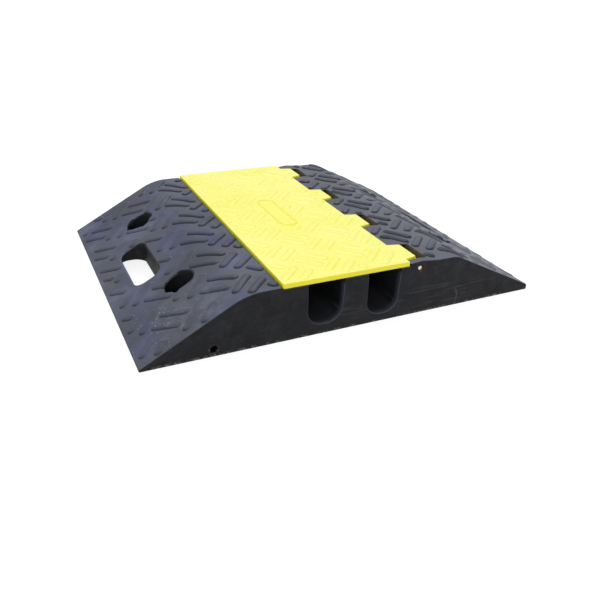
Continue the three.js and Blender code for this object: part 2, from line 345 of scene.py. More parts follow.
rampShape = {
    "deck": 71.5 * mm,
    "entryShoulder": -145.5 * mm,
    "entryShoulderRadius": 80 * mm,
    "entryToe": 3 * mm,
    "entryToeRadius": 1 * mm,
    "exitShoulder": 138.5 * mm,
    "exitShoulderRadius": 30 * mm,
    "exitToe": 7.5 * mm,
    "exitToeRadius": 5 * mm,
    "topFrom": 1 * mm,
    "edgeRound": 1.3 * mm,
    "rimRound": 2.6 * mm,
    "roundSegments": 3,
    "channelNarrowing": 2 * mm,
    "channelRound": 19 * mm,
    "channels": ((-47.3 * mm, 24.2 * mm, 13.7 * mm), (32 * mm, 23.3 * mm, 11.1 * mm)),
    "seat": 68.7 * mm,
    "seatGap": 0.6 * mm,
    "fingerTip": 68 * mm,
    "rodBore": 3.9 * mm,
    "boreSides": 32,
    "pocketHalf": 21.5 * mm,
    "pocketHalfMouth": 23.4 * mm,
    "pocketBack": 9 * mm,
    "pocketFront": 13.1 * mm,
    "pocketMouth": 13.9 * mm,
    "pocketRound": 8 * mm,
    "flarePast": 3 * mm,
    "handleHalfWidth": 16.5 * mm,
    "handleHalfLength": 49 * mm,
    "handleRound": 12 * mm,
    "recessHeight": 13 * mm,
    "recessRound": 19 * mm,
    "recessGrow": (1 * mm, 7 * mm, 28 * mm),
    "anchorRadius": 17.5 * mm,
    "anchorSeat": 14 * mm,
    "anchorHole": 8 * mm,
    "anchorSides": 64,
    "vent": (-185.6 * mm, 9.6 * mm),
    "ventHalf": (3.9 * mm, 4.7 * mm),
    "ventDepth": 20 * mm,
    "ventSides": 32,
    "ventWaves": ((0.14, 2, 0.7), (0.09, 5, 1.3), (0.05, 9, 0)),
    "fingerRise": ((110 * mm, 0), (84 * mm, 2.6 * mm), (68 * mm, 1 * mm), (20 * mm, 0)),
    # where the bars start to be worn lower, over what length, and by what share
    "wornFrom": 120 * mm,
    "wornOver": 60 * mm,
    "wornBy": 0.42,
    # how far the bars stay from the toes, the ends, the lid, the fingers' tips and the openings
    "barMarginToe": 4 * mm,
    "barMarginEnd": 2.5 * mm,
    "barMarginLid": 0.8 * mm,
    "barMarginTip": 1 * mm,
    "barMarginPocket": 0.5 * mm,
    "barMarginHandle": 1.5 * mm,
}
firstTab = -173 * mm
tabPitch = 112 * mm
tabs = {
    "centres": [firstTab + tabPitch * k for k in range(4)],
    "rootHalf": 22.5 * mm,
    "tipHalf": 18.65 * mm,
    "root": 66.6 * mm,
}
# how far a cutter reaches past what it cuts
past = 20 * mm


def rampCorners():
    s = rampShape
    return [
        (baseLow.x, 0),
        (baseHigh.x, 0),
        (baseHigh.x, s["exitToe"], s["exitToeRadius"]),
        (s["exitShoulder"], s["deck"], s["exitShoulderRadius"]),
        *((x, s["deck"] + rise) for x, rise in s["fingerRise"]),
        (s["entryShoulder"], s["deck"], s["entryShoulderRadius"]),
        (baseLow.x, s["entryToe"], s["entryToeRadius"]),
    ]


# the ramp's upper line, drawn finer than the moulding itself
fineOutline = roundedOutline(rampCorners(), arcStep["topLine"])
topLine = sorted((p.x, p.y) for p in fineOutline if p.y > rampShape["topFrom"])


def rampHeight(x):
    for (x0, z0), (x1, z1) in zip(topLine, topLine[1:]):
        if x <= x1:
            return z0 + (z1 - z0) * (x - x0) / max(x1 - x0, 1e-9)
    return topLine[-1][1]


def rampSurface(x):
    reach = 1.5 * mm
    return rampHeight(x), (rampHeight(x + reach) - rampHeight(x - reach)) / (2 * reach)


# distance outside a rounded rectangle, negative inside it
def boxDistance(x, y, middle, halfX, halfY, radius):
    dx = abs(x - middle[0]) - halfX + radius
    dy = abs(y - middle[1]) - halfY + radius
    return math.hypot(max(dx, 0), max(dy, 0)) + min(max(dx, dy), 0) - radius


def openingMiddle(name):
    low, high = openings[name]
    return (low + high) / 2


handleMiddles = [openingMiddle("carrying_opening_" + side) for side in ("entry", "exit")]
anchorMiddles = [
    openingMiddle(f"anchor_hole_{side}_{end}") for side in ("entry", "exit") for end in ("near", "far")
]


def outsideHandle(x, y, middle):
    s = rampShape
    return boxDistance(x, y, middle, s["handleHalfWidth"], s["handleHalfLength"], s["handleRound"])


def roomOnBase(x, y):
    s = rampShape
    rooms = [x - baseLow.x - s["barMarginToe"], baseHigh.x - s["barMarginToe"] - x]
    rooms.append(baseHigh.y - s["barMarginEnd"] - abs(y))
    if x < 0:
        rooms.append(lidLow.x - s["seatGap"] - s["barMarginLid"] - x)
    else:
        rooms.append(x - s["fingerTip"] - s["barMarginTip"])
        reach = hinge.x + s["pocketMouth"] - s["fingerTip"]
        half = s["pocketHalf"] + s["barMarginPocket"]
        for centre in tabs["centres"]:
            rooms.append(boxDistance(x, y, (s["fingerTip"], centre), reach, half, mm))
    rooms += [outsideHandle(x, y, middle) - s["barMarginHandle"] for middle in handleMiddles]
    return min(rooms)


def channelCutter(centre, half, floor):
    s = rampShape
    low = half - s["channelNarrowing"]
    top = s["seat"] + past
    corners = [
        (centre - low, floor, s["channelRound"]),
        (centre + low, floor, s["channelRound"]),
        (centre + half, top),
        (centre - half, top),
    ]
    return prism(roundedOutline(corners), baseLow.y - past, baseHigh.y + past, upright=True)


# the well a lid tab swings in, and the flare between the fingers at its mouth
def pocketCutters(centre):
    s = rampShape
    back = hinge.x - s["pocketBack"]
    front = hinge.x + s["pocketFront"]
    floor = hinge.z - s["pocketBack"]
    mouth = hinge.x + s["pocketMouth"]
    corners = [
        (back, s["deck"] + past),
        (back, floor, s["pocketRound"]),
        (front, floor, s["pocketRound"]),
        (front, hinge.z),
        (mouth, s["deck"]),
        (mouth, s["deck"] + past),
    ]
    half = s["pocketHalf"]
    well = prism(roundedOutline(corners), centre - half, centre + half, upright=True)
    wide = s["pocketHalfMouth"]
    edge = s["fingerTip"] - s["flarePast"]
    inner = back + mm
    plan = [(edge, -wide), (inner, -half), (inner, half), (edge, wide)]
    flare = prism([Vector((x, centre + y)) for x, y in plan], s["seat"], s["deck"] + past)
    return [well, flare]


def handleCutter(middle):
    s = rampShape
    w, h = s["handleHalfWidth"], s["handleHalfLength"]
    outline = roundedBox(middle.x - w, middle.x + w, middle.y - h, middle.y + h, s["handleRound"])
    return prism(outline, -past, s["deck"] + past)


def recessCutter(middle):
    s = rampShape
    toeGrow, deckGrow, endGrow = s["recessGrow"]
    left, right = (toeGrow, deckGrow) if middle.x < 0 else (deckGrow, toeGrow)
    w, h = s["handleHalfWidth"], s["handleHalfLength"] + endGrow
    outline = roundedBox(
        middle.x - w - left, middle.x + w + right, middle.y - h, middle.y + h, s["recessRound"]
    )
    return prism(outline, -past, s["recessHeight"])


# a ragged little hole in the near end face
def ventCutter():
    s = rampShape
    outline = []
    for k in range(s["ventSides"]):
        a = math.tau * k / s["ventSides"]
        reach = 1 + sum(size * math.sin(waves * a + start) for size, waves, start in s["ventWaves"])
        x = s["vent"][0] + s["ventHalf"][0] * reach * math.cos(a)
        z = s["vent"][1] + s["ventHalf"][1] * reach * math.sin(a)
        outline.append(Vector((x, z)))
    return prism(outline, baseLow.y - past, baseLow.y + s["ventDepth"], upright=True)


def openingCutters():
    s = rampShape
    top = s["deck"] + past
    cutters = [ventCutter()]
    for middle in handleMiddles:
        cutters.append(handleCutter(middle))
        cutters.append(recessCutter(middle))
    for middle in anchorMiddles:
        pocket = circle(middle.x, middle.y, s["anchorRadius"], s["anchorSides"])
        cutters.append(prism(pocket, s["anchorSeat"], top))
        cutters.append(prism(circle(middle.x, middle.y, s["anchorHole"]), -past, s["anchorSeat"] + mm))
    return cutters


# what trims the bars that cross an anchor pocket's rim, a little wider than the pocket itself
def rimCutters():
    s = rampShape
    radius = s["anchorRadius"] + s["barMarginPocket"]
    outlines = [circle(p.x, p.y, radius, s["anchorSides"]) for p in anchorMiddles]
    return [prism(outline, 0, s["deck"] + past) for outline in outlines]


# the bars are worn lower down both slopes
def rampBarHeight(x):
    s = rampShape
    worn = min(1.0, max(0.0, (abs(x) - s["wornFrom"]) / s["wornOver"]))
    return treadPattern["height"] * (1 - s["wornBy"] * worn)


# which of the base's edges get the wider round: how near a rim, how high and how deep they lie
rimPick = {
    "near": 0.5 * mm,
    "lowest": 18 * mm,
    "deepest": 14 * mm,
    "pocketDeepest": 1 * mm,
    "nearEnd": 0.3 * mm,
    "belowSeat": 3 * mm,
    "besideChannel": 1 * mm,
}


# tells whether an edge lies on the rim of an anchor pocket, a carrying opening or a channel's end
def nearOpeningRim(place):
    s, pick = rampShape, rimPick
    below = rampHeight(place.x) - place.z
    if place.z < pick["lowest"] or below > pick["deepest"]:
        return False
    for middle in anchorMiddles:
        if abs(math.hypot(place.x - middle.x, place.y - middle.y) - s["anchorRadius"]) < pick["near"]:
            return below < pick["pocketDeepest"]
    if any(abs(outsideHandle(place.x, place.y, middle)) < pick["near"] for middle in handleMiddles):
        return True
    if baseHigh.y - abs(place.y) > pick["nearEnd"] or place.z > s["seat"] - pick["belowSeat"]:
        return False
    return any(abs(place.x - middle) < half + pick["besideChannel"] for middle, half, floor in s["channels"])


def makeBase():
    s = rampShape
    section = roundedOutline(rampCorners(), arcStep["moulding"])
    body = prism(section, baseLow.y, baseHigh.y, upright=True)
    body.name = "baseMoulding"
    seat = roundedBox(lidLow.x - s["seatGap"], s["fingerTip"], baseLow.y - past, baseHigh.y + past, 0)
    cutters = [prism(seat, s["seat"], s["deck"] + past)]
    cutters += [channelCutter(*channel) for channel in s["channels"]]
    for centre in tabs["centres"]:
        cutters += pocketCutters(centre)
    bore = circle(hinge.x, hinge.z, s["rodBore"], s["boreSides"])
    cutters.append(prism(bore, baseLow.y - past, baseHigh.y + past, upright=True))
    cutters += openingCutters()
    combine(body, cutters, "DIFFERENCE")
    softenEdges(body, s["edgeRound"], s["roundSegments"], s["rimRound"], nearOpeningRim)
    print("base moulding cut and rounded")
    entryHigh = Vector((lidLow.x, baseHigh.y, 0))
    exitLow = Vector((s["fingerTip"], baseLow.y, 0))
    entryRuns = barRuns(treadPattern["entryStart"], baseLow, entryHigh, roomOnBase)
    exitRuns = barRuns(treadPattern["exitStart"], exitLow, baseHigh, roomOnBase)
    entryRuns = [run for run in entryRuns if run[0].x < 0]
    exitRuns = [run for run in exitRuns if run[0].x > 0]
    addTread(body, entryRuns + exitRuns, rampSurface, rampBarHeight, rimCutters)
    finishShading(body)
    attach(body, "ramp")
    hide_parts("base")
    print("base made", len(entryRuns) + len(exitRuns), "bars", len(body.data.polygons), "faces")
    return body


lidShape = {
    "thickness": 6.5 * mm,
    "treadHeight": 2 * mm,
    "barHeight": 1 * mm,
    "edgeRound": 1.2 * mm,
    "roundSegments": 4,
    "cornerRound": 3.2 * mm,
    "barMargin": 2.5 * mm,
    "badgeMargin": 2 * mm,
    "tabBarStart": 10 * mm,
    "tabBarEnd": 74 * mm,
    "badgeMiddle": Vector((-20.8, 2.7)) * mm,
    "badgeHalf": (12.5 * mm, 51.5 * mm),
    "badgeStraight": 0.05 * mm,
    # how far in each line of the badge's rim lies and how high, in millimetres
    "badgeRings": ((0, -0.5), (0.05, 0.3), (0.5, 0.8), (1.2, 0.95), (1.9, 0.8), (2.45, 0.3), (2.5, -0.5)),
    "eyeRadius": 7 * mm,
    "eyeSteps": 36,
    "eyeBore": 3.5 * mm,
    "boreSides": 40,
}
lidTop = lidHigh.z - lidShape["treadHeight"]
lidUnder = lidTop - lidShape["thickness"]


def lidOutline():
    corner = lidShape["cornerRound"]
    points = [(lidLow.x, lidLow.y, corner), (tabs["root"], lidLow.y)]
    for centre in tabs["centres"]:
        points.append((tabs["root"], centre - tabs["rootHalf"]))
        points.append((hinge.x, centre - tabs["tipHalf"]))
        points.append((hinge.x, centre + tabs["tipHalf"]))
        points.append((tabs["root"], centre + tabs["rootHalf"]))
    points += [(tabs["root"], lidHigh.y), (lidLow.x, lidHigh.y, corner)]
    return roundedOutline(points, arcStep["lid"])


def roomOnLid(x, y):
    s = lidShape
    root = tabs["root"]
    inside = -boxDistance(x, y, ((lidLow.x + root) / 2, 0), (root - lidLow.x) / 2, lidHigh.y, 0)
    start = root - s["tabBarStart"]
    reach = s["tabBarEnd"] - root + s["tabBarStart"]
    for centre in tabs["centres"]:
        inside = max(inside, -boxDistance(x, y, (start, centre), reach, tabs["tipHalf"], 0))
    half = s["badgeHalf"]
    badge = boxDistance(x, y, s["badgeMiddle"], half[0], half[1], half[0])
    return min(inside - s["barMargin"], badge - s["badgeMargin"])


def lidSurface(x):
    return lidTop, 0.0


def lidBarHeight(x):
    return lidShape["barHeight"]


def makeBadgeRim():
    s = lidShape
    x, y = s["badgeMiddle"]
    bm = bmesh.new()
    rings = []
    for inset, height in s["badgeRings"]:
        w, h = s["badgeHalf"][0] - inset * mm, s["badgeHalf"][1] - inset * mm
        line = roundedBox(x - w, x + w, y - h, y + h, w - s["badgeStraight"])
        rings.append([bm.verts.new((p.x, p.y, lidTop + height * mm)) for p in line])
    count = len(rings[0])
    for a, b in zip(rings, rings[1:] + rings[:1]):
        for i in range(count):
            j = (i + 1) % count
            bm.faces.new((a[i], a[j], b[j], b[i]))
    bmesh.ops.recalc_face_normals(bm, faces=bm.faces)
    return linkMesh("badgeRim", bm)


# a tab's eye round the rod: three quarters of a circle, joined to the plate above it
def eyeSolid(centre):
    s = lidShape
    radius = s["eyeRadius"]
    turns = [math.pi * (1 + k / s["eyeSteps"] * 1.5) for k in range(s["eyeSteps"] + 1)]
    line = [Vector((hinge.x + radius * math.cos(a), hinge.z + radius * math.sin(a))) for a in turns]
    line += [Vector((hinge.x, lidUnder + mm)), Vector((hinge.x - radius, lidUnder + mm))]
    return prism(line, centre - tabs["tipHalf"], centre + tabs["tipHalf"], upright=True)


def makeLid():
    s = lidShape
    plate = prism(lidOutline(), lidUnder, lidTop)
    plate.name = "lidPlate"
    combine(plate, [eyeSolid(centre) for centre in tabs["centres"]], "UNION")
    bore = circle(hinge.x, hinge.z, s["eyeBore"], s["boreSides"])
    combine(plate, [prism(bore, lidLow.y - past, lidHigh.y + past, upright=True)], "DIFFERENCE")
    softenEdges(plate, s["edgeRound"], s["roundSegments"])
    runs = barRuns(treadPattern["lidStart"], lidLow, lidHigh, roomOnLid)
    addTread(plate, runs, lidSurface, lidBarHeight)
    join(plate, makeBadgeRim())
    finishShading(plate)
    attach(plate, "lid")
    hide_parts("lid")
    print("lid made", len(plate.data.polygons))
    return plate


rodShape = {
    "sides": 64,
    "spans": 12,
    "chamfer": 0.5 * mm,
    # how far along and how far in the chamfer's middle line lies, as shares of the chamfer
    "chamferMiddle": (0.3, 0.35),
}


def makeRod():
    s = rodShape
    radius = (rodHigh.z - rodLow.z) / 2
    chamfer = s["chamfer"]
    along, inward = s["chamferMiddle"]
    end = [(0, 0), (0, radius - chamfer), (along * chamfer, radius - inward * chamfer), (chamfer, radius)]
    profile = [(rodLow.y + inset, r) for inset, r in end]
    profile += [(rodLow.y + (rodHigh.y - rodLow.y) * k / s["spans"], radius) for k in range(1, s["spans"])]
    profile += [(rodHigh.y - inset, r) for inset, r in reversed(end)]
    bm = bmesh.new()
    rings = []
    for y, r in profile:
        line = circle(hinge.x, hinge.z, r, s["sides"] if r else 1)
        rings.append([bm.verts.new((p.x, y, p.y)) for p in line])
    for a, b in zip(rings, rings[1:]):
        for i in range(s["sides"]):
            j = (i + 1) % s["sides"]
            corners = [a[i % len(a)], a[j % len(a)], b[j % len(b)], b[i % len(b)]]
            bm.faces.new(list(dict.fromkeys(corners)))
    bmesh.ops.recalc_face_normals(bm, faces=bm.faces)
    rod = linkMesh("hingeRod", bm)
    finishShading(rod)
    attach(rod, "ramp")
    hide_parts("hinge_rod")
    print("rod made")
    return rod


# small helpers for the node materials
class NodeBook:
    def __init__(self, name):
        self.material = bpy.data.materials.new(name)
        self.material.use_nodes = True
        self.tree = self.material.node_tree
        self.tree.nodes.clear()
        self.shader = self.add("ShaderNodeBsdfPrincipled")
        out = self.add("ShaderNodeOutputMaterial")
        self.link(self.shader.outputs[0], out.inputs["Surface"])
        self.coordinates = self.add("ShaderNodeTexCoord")
        self.place = self.coordinates.outputs["Object"]

    def add(self, kind):
        return self.tree.nodes.new(kind)

    def link(self, source, target):
        if isinstance(source, (int, float)):
            target.default_value = source
        elif isinstance(source, tuple):
            target.default_value = (*source, 1.0)
        else:
            self.tree.links.new(source, target)

    def stretched(self, scale, turn=(0, 0, 0)):
        mapping = self.add("ShaderNodeMapping")
        self.link(self.place, mapping.inputs["Vector"])
        mapping.inputs["Scale"].default_value = scale
        mapping.inputs["Rotation"].default_value = turn
        return mapping.outputs[0]

    def noise(self, scale, detail=4, roughness=0.55, vector=None, distortion=0):
        node = self.add("ShaderNodeTexNoise")
        self.link(vector or self.place, node.inputs["Vector"])
        node.inputs["Scale"].default_value = scale
        node.inputs["Detail"].default_value = detail
        node.inputs["Roughness"].default_value = roughness
        node.inputs["Distortion"].default_value = distortion
        return node.outputs[0]

    def spots(self, scale):
        node = self.add("ShaderNodeTexVoronoi")
        self.link(self.place, node.inputs["Vector"])
        node.inputs["Scale"].default_value = scale
        return node.outputs["Distance"]

    def fit(self, value, low, high, toLow=0.0, toHigh=1.0):
        node = self.add("ShaderNodeMapRange")
        node.interpolation_type = "SMOOTHSTEP"
        self.link(value, node.inputs["Value"])
        node.inputs["From Min"].default_value = low
        node.inputs["From Max"].default_value = high
        node.inputs["To Min"].default_value = toLow
        node.inputs["To Max"].default_value = toHigh
        return node.outputs[0]

    def work(self, operation, a, b=0.0):
        node = self.add("ShaderNodeMath")
        node.operation = operation
        self.link(a, node.inputs[0])
        self.link(b, node.inputs[1])
        return node.outputs[0]

    def size(self, value):
        return self.work("ABSOLUTE", value)

    def times(self, *values):
        product = values[0]
        for value in values[1:]:
            product = self.work("MULTIPLY", product, value)
        return product

    def mix(self, factor, a, b):
        node = self.add("ShaderNodeMix")
        node.data_type = "RGBA"
        self.link(factor, node.inputs[0])
        self.link(a, node.inputs[6])
        self.link(b, node.inputs[7])
        return node.outputs[2]

    def parts(self, vector):
        node = self.add("ShaderNodeSeparateXYZ")
        self.link(vector, node.inputs[0])
        return node.outputs

    def attribute(self, name):
        node = self.add("ShaderNodeAttribute")
        node.attribute_name = name
        return node.outputs["Fac"]

    def bump(self, height, distance, strength=1.0, normal=None):
        node = self.add("ShaderNodeBump")
        self.link(height, node.inputs["Height"])
        node.inputs["Distance"].default_value = distance
        node.inputs["Strength"].default_value = strength
        if normal:
            self.link(normal, node.inputs["Normal"])
        return node.outputs[0]


rubberLook = {
    "clean": (0.0058, 0.0061, 0.0076),
    "rimSheen": (0.07, 0.075, 0.1),
    "dusty": (0.088, 0.094, 0.118),
    "blueDust": (0.085, 0.1, 0.185),
    "paleDust": (0.175, 0.18, 0.21),
    # dark navy for wiped bar tops and for the painted shade on them
    "barTop": (0.012, 0.017, 0.038),
    # pale dust and painted light for the walls of the exit side's openings
    "wallDustAndLight": (0.15, 0.155, 0.17),
    # painted shade on the bars' near flanks
    "shade": (0.020, 0.023, 0.036),
    "scuff": (0.10, 0.102, 0.112),
    "speck": (0.62, 0.6, 0.56),
    "dirt": (0.34, 0.32, 0.28),
    "rust": (0.02, 0.013, 0.01),
    # painted brown bounce light from the yellow lid, down in the hinge gap
    "gapBounceLight": (0.13, 0.08, 0.022),
    # painted light on the sloped lip of each tab pocket
    "pocketLipLight": (0.09, 0.085, 0.08),
    "specular": 0.2,
    # middles, reaches and strengths of the patches of pale specks on both ramps
    "speckPatches": (
        ((-0.234, -0.15), (0.03, 0.07), 1.0),
        ((-0.237, 0.15), (0.02, 0.06), 0.7),
        ((-0.254, -0.195), (0.012, 0.012), 1.0),
        ((0.165, -0.02), (0.045, 0.2), 0.6),
    ),
    # middles and reaches of a smear on the entry ramp and of the scuffs on the end faces
    "smear": ((-0.2, -0.165), (0.055, 0.06)),
    "endScuffs": (
        ((0.12, 0.022), (0.09, 0.022)),
        ((0.19, 0.027), (0.022, 0.01)),
        ((0.0, 0.02), (0.1, 0.012)),
    ),
    # middle, radius and reach of the arc rubbed into the end faces
    "arc": ((0.124, 0.012), 0.023, (0.014, 0.018)),
    # along X and along Y, how far a surface leans to the side of the bars that gets painted shade
    "nearSide": (-0.34, -0.94),
    # reaches of the vent's inside, kept free of dust as painted shade, and of its torn rim
    "ventInside": (0.012, 0.012),
    "ventRim": (0.0085, 0.0085),
}

# where each mark fades in, in metres or as a part of the normal: none at the first, all at the second
rubberLimits = {
    "facingUp": (0.35, 0.9),
    "facingAside": (0.55, 0.3),
    "channelTop": (0.0685, 0.067),
    "channelSides": (0.078, 0.074),
    "channelEnds": (0.2045, 0.2),
    "behindFace": (-0.2045, -0.203),
    "onFace": (-0.203, -0.2046),
    "exitSide": (0.05, 0.085),
    "exitSlope": (0.12, 0.2),
    "entrySlope": (-0.125, -0.19),
    "bluerFrom": (0.05, -0.1),
    "dustierFrom": (0.06, 0.12),
    "nearFlank": (0.06, 0.4),
    "arcLine": (1.6 * mm, 0.3 * mm),
    "bottomEdge": (0.005, 0.0),
    "rodStain": (0.013, 0.005),
    "insideEnds": (0.2036, 0.2026),
    "exitOpenings": (0.17, 0.18),
    "lipStart": (0.0945, 0.0955),
    "lipEnd": (0.1, 0.0995),
    "lipHeight": (0.065, 0.0695),
    "gapStart": (0.062, 0.067),
    "gapEnd": (0.101, 0.099),
    "gapTop": (0.069, 0.066),
    "gapFloor": (0.05, 0.06),
    "gapEnds": (0.2046, 0.2036),
    "rimStart": (0.194, 0.2035),
    "rimTurned": (0.97, 0.9),
    "rimSides": (0.079, 0.077),
    "rimTop": (0.066, 0.06),
    "rimFloor": (0.008, 0.01),
}

# how strongly each mark shows; a pair is for the entry side and the exit side
rubberShares = {
    "blueDust": 0.85,
    "paleDust": 0.6,
    "dustierSide": 0.32,
    "dustierSlope": 0.63,
    # share of wiped bar top and of painted shade on it, by the bars' lean
    "wipedAndShadedCrosswise": (0.34, 0.92),
    "wipedAndShadedLengthwise": (0.28, 0.2),
    "exitSlopeWorn": 0.55,
    "entrySlopeWorn": 0.6,
    "shadedFlank": (0.46, 0.62),
    "scratches": 0.45,
    "smear": 0.6,
    "endScuffs": 0.26,
    "mottling": 0.18,
    "specks": 0.7,
    "crumbs": 0.85,
    "tornRim": 0.5,
    "rodStain": 0.85,
    "rimSheen": 0.7,
    "smoother": 0.12,
}


# how far a place lies from a middle, each way measured against its own reach
def distance(n, a, b, middle, reach=(1, 1)):
    across = n.work("DIVIDE", n.work("SUBTRACT", a, middle[0]), reach[0])
    along = n.work("DIVIDE", n.work("SUBTRACT", b, middle[1]), reach[1])
    return n.work("SQRT", n.work("ADD", n.times(across, across), n.times(along, along)))


# one inside an ellipse about a middle, fading to nothing at its edge
def patch(n, a, b, middle, reach):
    return n.fit(distance(n, a, b, middle, reach), 1.0, 0.45)


def largest(n, *values):
    top = values[0]
    for value in values[1:]:
        top = n.work("MAXIMUM", top, value)
    return top


def rubberMaterial():
    look, limits, shares = rubberLook, rubberLimits, rubberShares
    n = NodeBook("blackRubber")
    x, y, z = n.parts(n.place)
    sizeX, sizeY = n.size(x), n.size(y)
    facing = n.parts(n.coordinates.outputs["Normal"])
    notUp = n.fit(facing[2], *limits["facingAside"])
    onSide = n.fit(n.size(facing[2]), *limits["facingAside"])
    # dust is held back inside the channels and the vent, a painted shade that keeps these hollows near black
    inChannel = n.times(n.fit(z, *limits["channelTop"]), n.fit(sizeX, *limits["channelSides"]))
    inChannel = n.times(inChannel, n.fit(sizeY, *limits["channelEnds"]))
    inVent = patch(n, x, z, rampShape["vent"], look["ventInside"])
    inVent = n.times(inVent, n.fit(y, *limits["behindFace"]))
    up = n.times(n.fit(facing[2], *limits["facingUp"]), n.fit(inChannel, 0, 1, 1, 0.2))
    up = n.times(up, n.fit(inVent, 0, 0.1, 1, 0))
    patches = n.noise(9, 5, 0.62, distortion=0.6)
    clouds = n.noise(34, 6, 0.6)
    grain = n.noise(700, 3, 0.6)
    tread = n.attribute("tread")
    onBar = n.fit(tread, 0.02, 0.3)
    barTop = n.fit(tread, 0.3, 0.8)
    crosswise = n.attribute("crosswise")
    # dust lies on what faces up, thicker in patches and on the exit side
    exitSide = n.fit(x, *limits["exitSide"])
    exitSlope = n.fit(x, *limits["exitSlope"])
    dustAmount = n.times(up, n.fit(patches, 0.28, 0.62, 0.7, 1.0))
    bluish = n.times(n.fit(n.noise(16, 4, 0.6), 0.4, 0.62), n.fit(clouds, 0.3, 0.65))
    bluish = n.times(bluish, n.fit(x, *limits["bluerFrom"]), shares["blueDust"])
    ground = n.mix(dustAmount, look["clean"], n.mix(bluish, look["dusty"], look["blueDust"]))
    pale = n.times(up, n.fit(clouds, 0.42, 0.75), n.fit(patches, 0.4, 0.68), shares["paleDust"])
    ground = n.mix(pale, ground, look["paleDust"])
    dustierSide = n.times(n.fit(x, *limits["dustierFrom"]), shares["dustierSide"])
    dustier = n.work("ADD", dustierSide, n.times(exitSlope, shares["dustierSlope"]))
    ground = n.mix(n.times(up, dustier), ground, look["paleDust"])
    # bars are wiped on top and their tops also get painted shade, most on the exit side's crosswise bars;
    # their near flanks get painted shade; both fade where the slopes are worn
    entrySlope = n.times(n.fit(x, *limits["entrySlope"]), shares["entrySlopeWorn"])
    worn = n.work("SUBTRACT", 1.0, largest(n, n.times(exitSlope, shares["exitSlopeWorn"]), entrySlope))
    across = n.times(crosswise, n.fit(exitSide, 0, 1, *shares["wipedAndShadedCrosswise"]))
    lengthwise = n.work("SUBTRACT", 1.0, crosswise)
    along = n.times(lengthwise, n.fit(exitSide, 0, 1, *shares["wipedAndShadedLengthwise"]))
    wipedAndShaded = n.times(barTop, n.work("ADD", across, along), worn)
    ground = n.mix(wipedAndShaded, ground, look["barTop"])
    nearX, nearY = look["nearSide"]
    nearward = n.work("ADD", n.times(facing[1], nearY), n.times(facing[0], nearX))
    flank = n.times(n.fit(nearward, *limits["nearFlank"]), onBar)
    shaded = n.times(flank, worn, n.fit(exitSide, 0, 1, *shares["shadedFlank"]))
    ground = n.mix(shaded, ground, look["shade"])
    # long light scratches in two directions, and a smear on the entry ramp
    scratchA = n.noise(1, 2, 0.4, n.stretched((16, 460, 16), (0, 0, math.radians(38))))
    scratchB = n.noise(1, 2, 0.4, n.stretched((520, 22, 22), (0, 0, math.radians(24))))
    lines = largest(n, n.fit(scratchA, 0.68, 0.74), n.fit(scratchB, 0.7, 0.76))
    lines = n.times(lines, n.fit(clouds, 0.4, 0.6), up)
    ground = n.mix(n.times(lines, shares["scratches"]), ground, look["scuff"])
    smear = n.times(patch(n, x, y, *look["smear"]), n.fit(n.noise(90, 5, 0.7), 0.45, 0.75), up)
    ground = n.mix(n.times(smear, shares["smear"]), ground, look["paleDust"])
    # short scuffs, mottling and a rubbed arc on the end faces
    sideScuffs = n.noise(1, 3, 0.5, n.stretched((26, 26, 330), (0, math.radians(7), 0)))
    marked = largest(n, *(patch(n, x, z, *place) for place in look["endScuffs"]))
    marks = n.times(n.fit(sideScuffs, 0.5, 0.7), n.fit(marked, 0, 1, 0.12, 1), onSide)
    ground = n.mix(n.times(marks, shares["endScuffs"]), ground, look["scuff"])
    mottled = n.times(n.fit(n.noise(70, 6, 0.72), 0.42, 0.72), n.fit(patches, 0.3, 0.7, 0.4, 1), notUp)
    ground = n.mix(n.times(mottled, shares["mottling"]), ground, look["scuff"])
    middle, radius, reach = look["arc"]
    away = n.size(n.work("SUBTRACT", distance(n, x, z, middle), radius))
    arc = n.times(n.fit(away, *limits["arcLine"]), onSide)
    arc = n.times(arc, patch(n, x, z, (middle[0] + radius, middle[1]), reach))
    ground = n.mix(n.times(arc, n.fit(clouds, 0.3, 0.6, 0.2, 0.7)), ground, look["scuff"])
    # pale specks on both ramps, dirt along the bottom edge and a torn rim round the vent
    strewn = []
    for place, reach, strength in look["speckPatches"]:
        strewn.append(n.times(patch(n, x, y, place, reach), strength))
    specks = n.times(n.fit(n.spots(270), 0.24, 0.1), n.fit(n.noise(48, 3), 0.52, 0.62), largest(n, *strewn))
    ground = n.mix(n.times(specks, up, shares["specks"]), ground, look["speck"])
    crumbs = n.times(n.fit(n.noise(260, 4, 0.7), 0.48, 0.6), n.fit(n.noise(30, 3), 0.38, 0.55), onSide)
    crumbs = n.times(crumbs, n.fit(z, *limits["bottomEdge"]))
    ground = n.mix(n.times(crumbs, shares["crumbs"]), ground, look["dirt"])
    torn = n.times(patch(n, x, z, rampShape["vent"], look["ventRim"]), n.fit(y, *limits["onFace"]), onSide)
    torn = n.times(torn, n.fit(n.noise(420, 3, 0.6), 0.52, 0.62))
    ground = n.mix(n.times(torn, shares["tornRim"]), ground, look["dirt"])
    # oily black round the rod's end
    stain = n.times(n.fit(distance(n, x, z, (hinge.x, hinge.z)), *limits["rodStain"]), onSide)
    ground = n.mix(n.times(stain, shares["rodStain"]), ground, look["rust"])
    # pale dust and painted light on the walls of the exit side's openings
    insideEnds = n.fit(sizeY, *limits["insideEnds"])
    openingWalls = n.times(onSide, n.fit(x, *limits["exitOpenings"]), insideEnds)
    ground = n.mix(openingWalls, ground, look["wallDustAndLight"])
